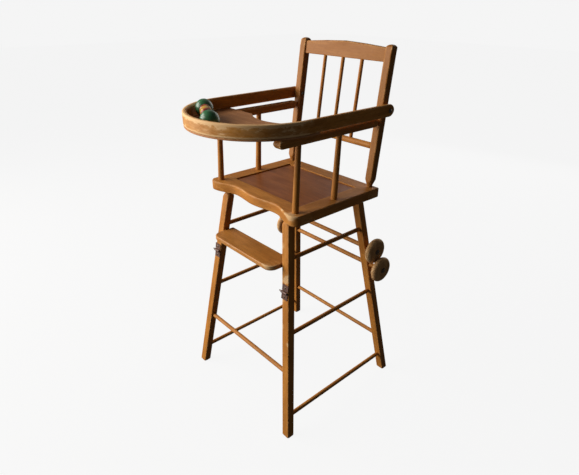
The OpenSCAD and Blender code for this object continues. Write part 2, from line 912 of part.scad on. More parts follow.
// Screw through a leaf into its leg
module hinge_screw(side, up, r) {
    at_hinge(side) translate([0, barrel_r + 0.05 - leaf_t, up * hinge_screw_at]) rotate([90, 0, 0])
        dome_screw(r, hinge_screw_len, hinge_head_r, hinge_head_h);
}

module hinge_screws(up) {
    color(steel) for (side = [left, right]) hinge_screw(side, up, hinge_screw_r);
}

module hinge_pins() {
    color(hinge_paint) for (side = [left, right])
        bar_x(pin_d / 2, side * hinge_x - leaf_w / 2 - pin_tip, side * hinge_x + leaf_w / 2 + 1,
            hinge_y, split_h);
}

// ---- assembly ----

translate([0, centre_shift, 0]) {
    seat_front_rail();
    seat_back_rail();
    seat_side_rail(left);  // seat_side_rail_left
    seat_side_rail(right);  // seat_side_rail_right
    seat_panel();
    back_post(left);  // back_post_left
    back_post(right);  // back_post_right
    crest_rail();
    lower_back_rail();
    back_spindle(1);  // back_spindle_left
    back_spindle(0);  // back_spindle_centre
    back_spindle(-1);  // back_spindle_right
    armrest(left);  // armrest_left
    armrest(right);  // armrest_right
    arm_spindle(left, -spindle_front);  // arm_spindle_front_left
    arm_spindle(right, -spindle_front);  // arm_spindle_front_right
    arm_spindle(left, spindle_rear);  // arm_spindle_rear_left
    arm_spindle(right, spindle_rear);  // arm_spindle_rear_right
    upper_leg(left, front);  // upper_leg_front_left
    upper_leg(right, front);  // upper_leg_front_right
    upper_leg(left, rear);  // upper_leg_rear_left
    upper_leg(right, rear);  // upper_leg_rear_right
    color(honey) side_bar(left, upper_side_h);  // upper_side_stretcher_left
    color(honey) side_bar(right, upper_side_h);  // upper_side_stretcher_right
    axle(upper_axle_z);  // upper_axle
    lower_leg(left, front);  // lower_leg_front_left
    lower_leg(right, front);  // lower_leg_front_right
    lower_leg(left, rear);  // lower_leg_rear_left
    lower_leg(right, rear);  // lower_leg_rear_right
    color(honey) side_bar(left, mid_side_h);  // mid_side_stretcher_left
    color(honey) side_bar(right, mid_side_h);  // mid_side_stretcher_right
    color(honey) side_bar(left, low_side_h);  // low_side_stretcher_left
    color(honey) side_bar(right, low_side_h);  // low_side_stretcher_right
    color(honey) cross_bar(front, front_bar_h);  // front_stretcher
    color(honey) cross_bar(rear, rear_bar_h);  // rear_stretcher
    axle(lower_axle_z);  // lower_axle
    wheel(left, upper_wheel_x, upper_axle_z);  // wheel_upper_left
    wheel(right, upper_wheel_x, upper_axle_z);  // wheel_upper_right
    wheel(left, lower_wheel_x, lower_axle_z);  // wheel_lower_left
    wheel(right, lower_wheel_x, lower_axle_z);  // wheel_lower_right
    wheel_fixings(upper_axle_z);  // upper_wheel_fixings
    wheel_fixings(lower_axle_z);  // lower_wheel_fixings
    hinge_leaf(left, 1);  // hinge_upper_leaf_left
    hinge_leaf(right, 1);  // hinge_upper_leaf_right
    hinge_leaf(left, -1);  // hinge_lower_leaf_left
    hinge_leaf(right, -1);  // hinge_lower_leaf_right
    hinge_pins();
    hinge_screws(1);  // upper_hinge_screws
    hinge_screws(-1);  // lower_hinge_screws
    footrest_board();
    footrest_screws();
    tray_rim();
    tray_board();
    tray_pivot_bolts();
    bead_rod();
    bead_ball(-1);  // bead_ball_rear
    bead_ball(1);  // bead_ball_front
    bead_disc(0);  // bead_disc_rear
    bead_disc(1);  // bead_disc_middle
    bead_disc(2);  // bead_disc_front
}
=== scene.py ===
# %% [markdown]
# # A folding wooden high chair, made in Blender around its CAD frame
#
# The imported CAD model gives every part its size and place. Here each wooden part is made
# again with rounded edges, and every surface gets a finish: varnish, bare wood, gloss paint,
# worn hinge paint or plated steel. All lengths are in metres.

# %% Load the frame
import math

import bpy
import numpy as np
from mathutils import Matrix, Vector


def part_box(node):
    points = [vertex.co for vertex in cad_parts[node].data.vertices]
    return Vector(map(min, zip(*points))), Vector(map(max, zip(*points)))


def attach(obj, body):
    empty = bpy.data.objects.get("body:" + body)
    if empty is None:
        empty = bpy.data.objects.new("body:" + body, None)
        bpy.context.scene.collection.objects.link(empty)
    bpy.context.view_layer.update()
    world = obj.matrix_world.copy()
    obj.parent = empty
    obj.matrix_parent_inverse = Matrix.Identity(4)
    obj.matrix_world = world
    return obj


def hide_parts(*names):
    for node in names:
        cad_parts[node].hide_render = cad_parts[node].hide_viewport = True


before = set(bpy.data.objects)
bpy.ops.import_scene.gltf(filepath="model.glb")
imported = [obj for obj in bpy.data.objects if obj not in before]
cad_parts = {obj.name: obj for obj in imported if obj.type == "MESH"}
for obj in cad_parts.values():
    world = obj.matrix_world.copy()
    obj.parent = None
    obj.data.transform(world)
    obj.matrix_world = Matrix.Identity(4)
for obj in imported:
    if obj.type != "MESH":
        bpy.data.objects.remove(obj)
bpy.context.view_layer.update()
scene = bpy.context.scene

# %% [markdown]
# ## The chair's own sizes
#
# A maker works from a cutting list. This one repeats the sizes that the CAD part was drawn
# with. Legs and posts are straight runs that lean, so their centre lines are straight-line
# functions of the height z.

# %% Sizes
MM = 0.001
LEFT, RIGHT, FRONT, REAR = 1, -1, -1, 1
SIDES = ((LEFT, "left"), (RIGHT, "right"))
middle_y = 29.5 * MM  # the seat's middle, behind the origin
seat_top = 584 * MM
seat_under = 560 * MM
fold_z = 392 * MM
leg_w, leg_d = 23 * MM, 20 * MM
post_w, post_d = 20 * MM, 20 * MM
post_top = 900 * MM
seat_x, seat_y = 163 * MM, 138 * MM
panel_x, panel_front, panel_rear = 122 * MM, 86 * MM, 98 * MM
arm_x, arm_w, arm_h, arm_front = 139.8 * MM, 21 * MM, 18 * MM, 165 * MM
arm_z = seat_top + 163.7 * MM - arm_h / 2
tray_r, tray_x, tray_front = 161 * MM, 164.5 * MM, 260 * MM
rim_t, rim_h = 9.5 * MM, 28 * MM
board_z = seat_top + 164 * MM
rim_z = board_z + 3.5 * MM


def leg_centre(z):
    """Distance of a leg's centre line from the two middle planes: straight lines in z."""
    share = np.asarray(z) / seat_under
    return (196 - 82 * share) * MM, (191 - 78 * share) * MM


def post_centre(z):
    """A back post leans in 4.5 mm and back 43 mm over its 316 mm above the seat."""
    share = (np.asarray(z) - seat_top) / (316 * MM)
    return (142 - 4.5 * share) * MM, (126 + 43 * share) * MM


pivot_z = rim_z + rim_h / 2
pivot_y = float(post_centre(pivot_z)[1])
bend_y = tray_r - tray_front
arm_end_y = pivot_y + rim_h / 2
print("tray pivots at", round(pivot_y + middle_y, 4), round(pivot_z, 4))

# %% [markdown]
# ## Camera
#
# The camera stands to the child's front left, a little higher than the chair's top, and looks
# down by 29 degrees through a wide lens. The picture is shifted a little in its frame.

# %% Camera
camera_data = bpy.data.cameras.new("camera")
camera = bpy.data.objects.new("camera", camera_data)
scene.collection.objects.link(camera)
azimuth, elevation, roll = (math.radians(a) for a in (47.146, 29.119, 0.546))
back = Vector((math.sin(azimuth) * math.cos(elevation),
               -math.cos(azimuth) * math.cos(elevation), math.sin(elevation)))
level = Vector((math.cos(azimuth), math.sin(azimuth), 0))
upright = back.cross(level)
right = level * math.cos(roll) + upright * math.sin(roll)
up = upright * math.cos(roll) - level * math.sin(roll)
camera.matrix_world = Matrix((
    (right.x, up.x, back.x, 0.81495),
    (right.y, up.y, back.y, -0.69260),
    (right.z, up.z, back.z, 0.98213),
    (0, 0, 0, 1)))
camera_data.sensor_width = 36
camera_data.lens = 28.53
camera_data.shift_x = -0.0214
camera_data.shift_y = 0.0322
camera_data.clip_start, camera_data.clip_end = 0.05, 60
scene.camera = camera
print("camera at", [round(c, 3) for c in camera.location])

# %% [markdown]
# ## Floor, room and lights
#
# A pale floor and a pale room stand for the studio. The key light is low and to the child's
# right, so the chair's front faces glow and its left side stays dark. A weak light from behind
# puts a sheen on the level faces, and another one shows the back. The floor glows by itself, and
# doesn't light the wood from below.

# %% Floor and room
PALE = 0.913
KEY_ON_FLOOR = 0.012  # about what the lights add to the floor's own glow


def new_material(name):
    """An empty node material with its output node."""
    material = bpy.data.materials.new(name)
    material.use_nodes = True
    tree = material.node_tree
    tree.nodes.clear()
    return material, tree, tree.nodes.new("ShaderNodeOutputMaterial")


floor_mesh = bpy.data.meshes.new("floor")
reach = 12.0
corners = [(-reach, -reach, 0), (reach, -reach, 0), (reach, reach, 0), (-reach, reach, 0)]
floor_mesh.from_pydata(corners, [], [(0, 1, 2, 3)])
floor = bpy.data.objects.new("floor", floor_mesh)
scene.collection.objects.link(floor)
floor.location.z = -0.4 * MM
floor.visible_diffuse = floor.visible_glossy = False
material, tree, output = new_material("pale_floor")
glow = tree.nodes.new("ShaderNodeBsdfPrincipled")
glow.inputs["Base Color"].default_value = (0.03, 0.03, 0.03, 1)
glow.inputs["Roughness"].default_value = 1.0
glow.inputs["Specular IOR Level"].default_value = 0.0
glow.inputs["Emission Color"].default_value = (1, 1, 1, 1)
glow.inputs["Emission Strength"].default_value = PALE - KEY_ON_FLOOR
tree.links.new(glow.outputs[0], output.inputs["Surface"])
floor_mesh.materials.append(material)

world = bpy.data.worlds.new("room")
scene.world = world
world.use_nodes = True
tree = world.node_tree
tree.nodes.clear()
sky = tree.nodes.new("ShaderNodeOutputWorld")
seen, lighting = (tree.nodes.new("ShaderNodeBackground") for _ in range(2))
seen.inputs["Color"].default_value = (PALE, PALE, PALE, 1)
lighting.inputs["Color"].default_value = (1.0, 0.97, 0.93, 1)
lighting.inputs["Strength"].default_value = 0.055
path = tree.nodes.new("ShaderNodeLightPath")
choice = tree.nodes.new("ShaderNodeMixShader")
tree.links.new(path.outputs["Is Camera Ray"], choice.inputs[0])
tree.links.new(lighting.outputs[0], choice.inputs[1])
tree.links.new(seen.outputs[0], choice.inputs[2])
tree.links.new(choice.outputs[0], sky.inputs["Surface"])
scene.view_settings.view_transform = "Standard"


def soft_light(name, towards, distance, size, watts, colour):
    """A square light that looks at the chair's middle from a direction."""
    data = bpy.data.lights.new(name, "AREA")
    data.shape = "SQUARE"
    data.size = size
    data.energy = watts
    data.color = colour
    light = bpy.data.objects.new(name, data)
    scene.collection.objects.link(light)
    direction = Vector(towards).normalized()
    light.location = Vector((0, 0, 0.5)) + direction * distance
    light.rotation_euler = direction.to_track_quat("Z", "Y").to_euler()


soft_light("key", (-0.66, -0.70, 0.34), 2.4, 2.2, 118, (1.0, 0.96, 0.90))
soft_light("back", (-0.25, 0.95, 0.25), 2.6, 1.8, 22, (1.0, 0.97, 0.94))
soft_light("sheen", (-0.62, 0.55, 0.75), 2.6, 2.0, 5, (1.0, 0.95, 0.88))

# %% [markdown]
# ## Making surfaces from rings
#
# A joiner's part could be cut from a block with Boolean tools, but the cuts leave hard edges
# that no chair keeps after years of use. Building the skin directly gives every edge its own
# rounding, and lets each point carry what the finish needs.
#
# Nearly every part of the chair is a section carried along a line. A part is therefore an
# array of rings, shape (rings, points, 3). Ring i joins ring i + 1 with four-sided faces, and
# one flat face closes each end. Two values go with every point: `wear`, how close it is to
# an edge, and `grain`, its place in the plank, along the fibres last. A third, `shade`, is the
# same all over a piece: how much painted shade darkens its colour, from 0 to 1.

# %% Skin of rings
def skin(rings, wear, grain, closed=False):
    """Faces of a tube of rings. Point j of ring i has index i * points + j, and each face
    joins (i, j), (i, j + 1), (i + 1, j + 1), (i + 1, j). If the enclosed volume, a sixth of the
    sum of triple products over the faces, comes out negative, every face is turned round."""
    rings = np.asarray(rings, float)
    count, points = rings.shape[:2]
    index = np.arange(count * points).reshape(count, points)
    here = index if closed else index[:-1]
    after = np.roll(index, -1, 0) if closed else index[1:]
    quads = np.stack([here, np.roll(here, -1, 1), np.roll(after, -1, 1), after], -1).reshape(-1, 4)
    place = rings.reshape(-1, 3)
    a, b, c, d = (place[quads[:, k]] - place.mean(0) for k in range(4))
    volume = (np.cross(a, b) * c).sum() + (np.cross(a, c) * d).sum()
    ends = [] if closed else [index[0][::-1], index[-1]]
    if volume < 0:
        quads = quads[:, ::-1]
        ends = [e[::-1] for e in ends]
    wear = np.broadcast_to(wear, (count, points)).reshape(-1)
    grain = np.broadcast_to(grain, (count, points, 3)).reshape(-1, 3)
    return place, quads, ends, wear, grain


def piece(node, skins, body, material, sharp=40, shade=0.0):
    """Puts one or more skins into a mesh object that stands for a CAD node and rides on a
    body. Each piece reads its own stretch of the plank, so no two have the same figure."""
    mesh = bpy.data.meshes.new(node + "_made")
    start, place, faces, wear, grain = 0, [], [], [], []
    for points, quads, ends, edge, fibre in skins:
        place.append(points)
        faces += (quads + start).tolist() + [(e + start).tolist() for e in ends]
        wear.append(edge)
        grain.append(fibre)
        start += len(points)
    mesh.from_pydata(np.concatenate(place).tolist(), [], faces)
    mesh.polygons.foreach_set("use_smooth", np.ones(len(faces), bool))
    mesh.set_sharp_from_angle(angle=math.radians(sharp))
    offset = np.random.default_rng(len(made) + 7).uniform(-9, 9, 3)
    for name, kind, field, values in (
            ("wear", "FLOAT", "value", np.concatenate(wear)),
            ("grain", "FLOAT_VECTOR", "vector", np.concatenate(grain) + offset),
            ("shade", "FLOAT", "value", np.full(start, shade))):
        at_points = mesh.attributes.new(name, kind, "POINT").data
        at_points.foreach_set(field, values.astype(np.float32).ravel())
    mesh.materials.append(material)
    made_piece = bpy.data.objects.new(node + "_made", mesh)
    scene.collection.objects.link(made_piece)
    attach(made_piece, body)
    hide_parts(node)
    made.append(made_piece.name)


made = []
ALONG_X, ALONG_Y = [1, 2, 0], [0, 2, 1]  # which way round the coordinates go into the grain


def rounded_section(width, depth, radius, arc=4):
    """A rectangle with round corners. Each corner is its centre plus radius * (cos a, sin a),
    and each side has three more points, so that wear fades within a few millimetres."""
    loop, edge = [], []
    for k in range(4):
        a = math.pi / 2 * (k + np.linspace(0, 1, arc))
        corner = np.sign([math.cos(a.mean()), math.sin(a.mean())])
        centre = corner * [width / 2 - radius, depth / 2 - radius]
        loop.append(centre + radius * np.stack([np.cos(a), np.sin(a)], -1))
        edge.append(np.ones(arc))
        side = (depth if k % 2 else width) - 2 * radius
        along = np.array([-math.sin(a[-1]), math.cos(a[-1])])
        beside = min(0.2, 3 * MM / side)
        share = np.array([beside, 0.5, 1 - beside])
        loop.append(loop[-1][-1] + along * share[:, None] * side)
        edge.append(np.zeros(3))
    return np.concatenate(loop), np.concatenate(edge)


def circle_section(points=24):
    """A unit circle."""
    a = np.linspace(0, 2 * math.pi, points, endpoint=False)
    return np.stack([np.cos(a), np.sin(a)], -1)


print("a leg's section has", len(rounded_section(leg_w, leg_d, 2 * MM)[0]), "points")

# %% [markdown]
# ## Wood under varnish
#
# Beech has a fine, even fibre, short dark flecks and broad soft bands. The fibre pattern is a
# group that stretches noise along the plank. A second group decides where handling has
# taken the varnish off: along edges, in patches. Each material mixes its own colours with
# what the two groups put out.

# %% Shader groups
def noise(tree, vector, scale, detail, roughness=0.5, distortion=0.0):
    """Fractal noise over a vector that is first multiplied by a scale, part by part."""
    scaled = tree.nodes.new("ShaderNodeVectorMath")
    scaled.operation = "MULTIPLY"
    scaled.inputs[1].default_value = scale
    tree.links.new(vector, scaled.inputs[0])
    cloud = tree.nodes.new("ShaderNodeTexNoise")
    for socket, value in (("Scale", 1), ("Detail", detail), ("Roughness", roughness),
                          ("Distortion", distortion)):
        cloud.inputs[socket].default_value = value
    tree.links.new(scaled.outputs[0], cloud.inputs["Vector"])
    return cloud.outputs["Fac"]


def between(tree, value, low, high):
    """0 below low, 1 above high, smooth in between."""
    step = tree.nodes.new("ShaderNodeMapRange")
    step.interpolation_type = "SMOOTHSTEP"
    step.inputs["From Min"].default_value = low
    step.inputs["From Max"].default_value = high
    tree.links.new(value, step.inputs["Value"])
    return step.outputs["Result"]


def arithmetic(tree, operation, first, second):
    """first and second put together by a Math node; either may be a number."""
    node = tree.nodes.new("ShaderNodeMath")
    node.operation = operation
    for socket, value in zip(node.inputs, (first, second)):
        if isinstance(value, (int, float)):
            socket.default_value = value
        else:
            tree.links.new(value, socket)
    return node.outputs[0]


def times(tree, first, second):
    """A product."""
    return arithmetic(tree, "MULTIPLY", first, second)


def new_group(name, takes, gives):
    """A shader node group with named inputs and outputs."""
    group = bpy.data.node_groups.new(name, "ShaderNodeTree")
    for socket, kind in takes:
        group.interface.new_socket(socket, in_out="INPUT", socket_type=kind)
    for socket in gives:
        group.interface.new_socket(socket, in_out="OUTPUT", socket_type="NodeSocketFloat")
    return group, group.nodes.new("NodeGroupInput"), group.nodes.new("NodeGroupOutput")


figure, takes, gives = new_group("beech_figure", [("Grain", "NodeSocketVector")],
                                 ["Band", "Fibre", "Fleck", "Height"])
grain = takes.outputs["Grain"]
band = noise(figure, grain, (70, 70, 5), 3, 0.55, 0.7)
fibre = noise(figure, grain, (900, 900, 26), 2, 0.6)
fleck = between(figure, noise(figure, grain, (620, 620, 130), 1), 0.60, 0.70)
link = figure.links.new
link(between(figure, band, 0.30, 0.70), gives.inputs["Band"])
link(between(figure, fibre, 0.30, 0.72), gives.inputs["Fibre"])
link(fleck, gives.inputs["Fleck"])
link(arithmetic(figure, "SUBTRACT", fibre, fleck), gives.inputs["Height"])

handling, takes, gives = new_group(
    "handling_wear", [("Grain", "NodeSocketVector"), ("Wear", "NodeSocketFloat"),
                      ("Amount", "NodeSocketFloat")], ["Bare", "Scuff", "Grime"])
grain = takes.outputs["Grain"]
patch = noise(handling, grain, (120, 120, 55), 4, 0.65, 0.4)
cloud = noise(handling, grain, (22, 22, 14), 2)
total = arithmetic(handling, "ADD", times(handling, takes.outputs["Wear"], 0.30), patch)
total = arithmetic(handling, "ADD", total, times(handling, cloud, 0.45))
total = arithmetic(handling, "ADD", total, takes.outputs["Amount"])
link = handling.links.new
link(between(handling, total, 1.16, 1.26), gives.inputs["Bare"])
link(between(handling, total, 0.86, 1.20), gives.inputs["Scuff"])
link(between(handling, cloud, 0.40, 0.68), gives.inputs["Grime"])
print("groups", [g.name for g in bpy.data.node_groups])

# %% [markdown]
# A wood material mixes a dark and a light tone by the band, darkens the fibres and flecks,
# and shows pale, matt wood where the varnish is gone. The varnish itself is a clear coat,
# which is missing where the wood is bare. Six woods share this recipe: the chair's beech, the
# rim that hands have rubbed bare, the footrest, the dark seat panel, the faded tray board and
# the pale wheels.

# %% Wood materials
def grouped(tree, group):
    """A node that holds a group."""
    node = tree.nodes.new("ShaderNodeGroup")
    node.node_tree = group
    return node


def mixed(tree, factor, first, second):
    """Colours mixed by a mask; either colour may be a tuple or a socket."""
    mix = tree.nodes.new("ShaderNodeMix")
    mix.data_type = "RGBA"
    for socket, value in ((mix.inputs["Factor"], factor), (mix.inputs["A"], first),
                          (mix.inputs["B"], second)):
        if isinstance(value, tuple):
            socket.default_value = (*value, 1)
        elif isinstance(value, float):
            socket.default_value = value
        else:
            tree.links.new(value, socket)
    return mix.outputs["Result"]


def attribute(tree, name, output="Fac"):
    """A value that the mesh carries at its points."""
    node = tree.nodes.new("ShaderNodeAttribute")
    node.attribute_name = name
    return node.outputs[output]


def bumped(tree, height, strength, distance):
    """A normal that follows a height."""
    bump = tree.nodes.new("ShaderNodeBump")
    bump.inputs["Strength"].default_value = strength
    bump.inputs["Distance"].default_value = distance
    tree.links.new(height, bump.inputs["Height"])
    return bump.outputs["Normal"]


def worn(tree, amount):
    """The grain, and the group of handling wear fed with it and with an amount."""
    grain = attribute(tree, "grain", "Vector")
    wearing = grouped(tree, handling)
    tree.links.new(grain, wearing.inputs["Grain"])
    tree.links.new(attribute(tree, "wear"), wearing.inputs["Wear"])
    wearing.inputs["Amount"].default_value = amount
    return grain, wearing


def surfaced(tree, output, tone, rough, normal):
    """A surface with a colour, a roughness and a normal, joined to the material's output."""
    surface = tree.nodes.new("ShaderNodeBsdfPrincipled")
    for socket, value in (("Base Color", tone), ("Roughness", rough), ("Normal", normal)):
        tree.links.new(value, surface.inputs[socket])
    tree.links.new(surface.outputs[0], output.inputs["Surface"])
    return surface


def wood(name, light, dark, bare, amount, roughness, coat):
    """Wood in two tones under a varnish that has worn off by some amount."""
    material, tree, output = new_material(name)
    grain, wearing = worn(tree, amount)
    fibres = grouped(tree, figure)
    tree.links.new(grain, fibres.inputs["Grain"])
    gone, grime = wearing.outputs["Bare"], wearing.outputs["Grime"]
    deep = tuple(c * 0.55 for c in dark)
    faded = tuple(0.5 * (a + b) for a, b in zip(light, bare))
    tone = mixed(tree, fibres.outputs["Band"], dark, light)
    tone = mixed(tree, times(tree, fibres.outputs["Fibre"], 0.42), tone, deep)
    tone = mixed(tree, times(tree, fibres.outputs["Fleck"], 0.50), tone, deep)
    tone = mixed(tree, times(tree, grime, 0.30), tone, deep)
    # painted shade: a piece's shade value mixes its colour towards half the dark tone
    tone = mixed(tree, attribute(tree, "shade"), tone, tuple(c * 0.5 for c in dark))
    tone = mixed(tree, times(tree, wearing.outputs["Scuff"], 0.45), tone, faded)
    tone = mixed(tree, times(tree, gone, 0.85), tone, bare)
    rough = arithmetic(tree, "ADD", times(tree, gone, 0.62 - roughness), roughness)
    rough = arithmetic(tree, "ADD", rough, times(tree, grime, 0.08))
    relief = arithmetic(tree, "SUBTRACT", fibres.outputs["Height"], times(tree, gone, 1.2))
    surface = surfaced(tree, output, tone, rough, bumped(tree, relief, 0.35, 0.25 * MM))
    varnish = arithmetic(tree, "SUBTRACT", 1.0, gone)
    tree.links.new(times(tree, varnish, coat), surface.inputs["Coat Weight"])
    surface.inputs["Coat Roughness"].default_value = 0.30
    surface.inputs["Specular IOR Level"].default_value = 0.14
    return material


BARE = (0.62, 0.40, 0.20)
beech = wood("varnished_beech", light=(0.56, 0.235, 0.045), dark=(0.42, 0.155, 0.026), bare=BARE,
             amount=-0.02, roughness=0.50, coat=0.05)
tray_beech = wood("worn_tray_beech", light=(0.60, 0.255, 0.042), dark=(0.45, 0.165, 0.022),
                  bare=(0.80, 0.52, 0.26), amount=0.13, roughness=0.48, coat=0.06)
footrest_beech = wood("footrest_beech", light=(0.56, 0.235, 0.050), dark=(0.42, 0.160, 0.032),
                      bare=BARE, amount=-0.03, roughness=0.40, coat=0.15)
seat_ply = wood("seat_plywood", light=(0.38, 0.125, 0.030), dark=(0.27, 0.080, 0.019),
                bare=(0.46, 0.20, 0.07), amount=-0.16, roughness=0.30, coat=0.20)
tray_ply = wood("tray_plywood", light=(0.58, 0.270, 0.110), dark=(0.46, 0.195, 0.075),
                bare=(0.65, 0.42, 0.24), amount=-0.05, roughness=0.55, coat=0.05)
wheel_wood = wood("wheel_wood", light=(0.72, 0.410, 0.165), dark=(0.46, 0.235, 0.095),
                  bare=(0.78, 0.54, 0.29), amount=0.02, roughness=0.65, coat=0.03)


def beech_piece(node, skins, body="chair", shade=0.0):
    """A piece of the chair's varnished beech."""
    piece(node, skins, body, beech, shade=shade)


print("materials", len(bpy.data.materials))

# %% [markdown]
# ## Legs
#
# A leg is one plain section, 23 by 20 mm, carried up its leaning centre line, and level
# at both ends. The top is sharpened like a pencil, down to the round tenon that enters the
# seat: there each point of the section is pulled in to a cone, wherever the cone is
# narrower than the section. The leg is sawn through at the fold line, and both halves come
# from the same function. The near front leg has a few chips, as spots of extra wear.

# %% Legs
def upright_rings(z, centre, section, reach_at):
    """Level rings: ring i is the section, each of whose points is pulled in until it is no
    further out than reach_at[i], moved to the centre line at height z[i]."""
    z = np.asarray(z, float)
    size = np.linalg.norm(section, axis=1)
    pull = np.minimum(1, np.asarray(reach_at)[:, None] / size[None])
    flat = section[None] * pull[..., None]
    x, y = centre
    ring = np.empty((len(z), len(section), 3))
    ring[..., 0] = flat[..., 0] + x[:, None]
    ring[..., 1] = flat[..., 1] + y[:, None]
    ring[..., 2] = z[:, None]
    grain = np.empty_like(ring)
    grain[..., :2] = flat
    grain[..., 2] = z[:, None]
    return ring, grain


def spots(rings, places):
    """Extra wear around places: strength * exp(-(distance / radius)^2) for each."""
    total = np.zeros(rings.shape[:2])
    for point, radius, strength in places:
        away = ((rings - np.array(point)) ** 2).sum(-1) / radius ** 2
        total += strength * np.exp(-away)
    return total


def leg(node, side, end, low, high, body, places=()):
    """One half of a leg, from low to high, for one side and one end of the chair."""
    section, edge = rounded_section(leg_w, leg_d, 2.2 * MM)
    z = np.concatenate([[low, low + 0.4 * MM, low + 1.2 * MM],
                        np.arange(low + 8 * MM, high - 18 * MM, 8 * MM),
                        np.linspace(high - 16 * MM, high, 10)])
    reach_at = np.full(len(z), 1.0)
    diagonal = np.linalg.norm([leg_w, leg_d]) / 2 - 0.9 * MM
    reach_at[:2] = diagonal - np.array([1.4, 0.4]) * MM
    if high > fold_z + MM:
        cone = (7 + 7.6 * (high - z) / (14 * MM)) * MM
        reach_at = np.minimum(reach_at, np.maximum(cone, 7 * MM))
    else:
        reach_at[-1] = diagonal - 0.8 * MM
    x, y = leg_centre(z)
    rings, grain = upright_rings(z, (side * x, end * y + middle_y), section, reach_at)
    wear = edge[None] + spots(rings, places)
    wear[[0, 1]] += 0.8
    beech_piece(node, [skin(rings, wear, grain)], body)


near_chips = [((0.1345, -0.1130, 0.420), 0.011, 2.8), ((0.1420, -0.1125, 0.430), 0.007, 1.8),
              ((0.1330, -0.1195, 0.368), 0.008, 2.0), ((0.1460, -0.1295, 0.300), 0.006, 2.0),
              ((0.1640, -0.1350, 0.262), 0.006, 1.8), ((0.1190, -0.1020, 0.500), 0.006, 1.8)]
for side, hand in SIDES:
    for end, place in ((FRONT, "front"), (REAR, "rear")):
        chips = near_chips if (side, end) == (LEFT, FRONT) else ()
        leg(f"upper_leg_{place}_{hand}", side, end, fold_z, seat_under, "chair", chips)
        leg(f"lower_leg_{place}_{hand}", side, end, 0.0, fold_z, "lower_base", chips)
print("legs", made[-8:])

# %% [markdown]
# ## Round bars
#
# Stretchers, spindles, the lower back rail and the axles are all turned: circles of a given
# radius along a straight line. One function makes them all from a list of stations.

# %% Turned bars
def turned(start, end, stations, radii, points=24):
    """Circles across the line from start to end, at shares of its length, with given radii."""
    start, end = np.array(start, float), np.array(end, float)
    axis = (end - start) / np.linalg.norm(end - start)
    side = np.cross(axis, [0, 0, 1.0] if abs(axis[2]) < 0.9 else [1.0, 0, 0])
    side /= np.linalg.norm(side)
    other = np.cross(axis, side)
    stations, radii = np.asarray(stations, float), np.asarray(radii, float)
    flat = circle_section(points)[None] * radii[:, None, None]
    rings = (start + (end - start) * stations[:, None])[:, None] \
        + flat[..., :1] * side + flat[..., 1:] * other
    length = np.linalg.norm(end - start)
    grain = np.concatenate([flat, np.broadcast_to((stations * length)[:, None, None],
                                                  (len(radii), points, 1))], -1)
    return rings, grain


def bar(node, start, end, radius, body, end_radius=None, wear=0.35):
    """A plain or tapering bar between two points."""
    stations = np.linspace(0, 1, 15)
    radii = np.linspace(radius, end_radius or radius, 15)
    rings, grain = turned(start, end, stations, radii)
    beech_piece(node, [skin(rings, wear, grain)], body)


bar_r = 5.5 * MM
sockets = 12 * MM  # how deep a stretcher enters a leg
for row, z, body in (("upper", 466, "chair"), ("mid", 279, "lower_base"), ("low", 54, "lower_base")):
    x, y = (float(c) for c in leg_centre(z * MM))
    half = y - leg_d / 2 + sockets
    for side, hand in SIDES:
        bar(f"{row}_side_stretcher_{hand}", (side * x, middle_y - half, z * MM),
            (side * x, middle_y + half, z * MM), bar_r, body)
for end, name, z in ((FRONT, "front_stretcher", 175), (REAR, "rear_stretcher", 122)):
    x, y = (float(c) for c in leg_centre(z * MM))
    half = x - leg_w / 2 + sockets
    y = middle_y + end * y
    bar(name, (-half, y, z * MM), (half, y, z * MM), bar_r, "lower_base", wear=0.6)
print("stretchers", made[-8:])

# %% [markdown]
# The two axles are bars as well, 12 mm thick, with thinner ends that the wheels turn on. The
# shoulder between the two keeps each wheel off its leg.

# %% Axles
for node, body, z, wheel_mid in (("upper_axle", "chair", 413, 172),
                                 ("lower_axle", "lower_base", 363, 191)):
    y = float(leg_centre(z * MM)[1]) + middle_y
    shoulder, tip = (wheel_mid - 8.9) * MM, (wheel_mid + 8.9) * MM
    x = np.array([-tip, -tip + 0.5 * MM, -shoulder, -shoulder, -shoulder + 0.8 * MM,
                  *np.linspace(-0.14, 0.14, 12),
                  shoulder - 0.8 * MM, shoulder, shoulder, tip - 0.5 * MM, tip])
    radii = np.array([4.1, 4.5, 4.5, 5.4, 6.0, *[6.0] * 12, 6.0, 5.4, 4.5, 4.5, 4.1]) * MM
    x[2], x[-3] = x[2] - 0.01 * MM, x[-3] + 0.01 * MM
    rings, grain = turned((-tip, y, z * MM), (tip, y, z * MM), (x + tip) / (2 * tip), radii)
    beech_piece(node, [skin(rings, 0.6, grain)], body)
print("axles", made[-2:])

# %% [markdown]
# ## Plates
#
# The seat panel, the crest rail, the tray's board and the footrest are flat boards with their
# edges rounded over. A plate is an outline in two directions and a thickness in the third.
# From the underside up, its rings are the outline drawn in by a narrow margin, the rounding
# below, the rounding above, and the margin again. A wide margin would make the innermost rings
# cross themselves at small corners, so it is half a millimetre.

# %% Plate of an outline
CORNERS = [(-1, -1), (1, -1), (1, 1), (-1, 1)]  # anticlockwise, from the low corner


def outline_normals(outline):
    """Unit outward directions at the points of a closed outline that runs anticlockwise:
    the tangent is the next point minus the one before, turned clockwise by a right angle."""
    tangent = np.roll(outline, -1, 0) - np.roll(outline, 1, 0)
    normal = np.stack([tangent[:, 1], -tangent[:, 0]], -1)
    return normal / np.linalg.norm(normal, axis=1)[:, None]


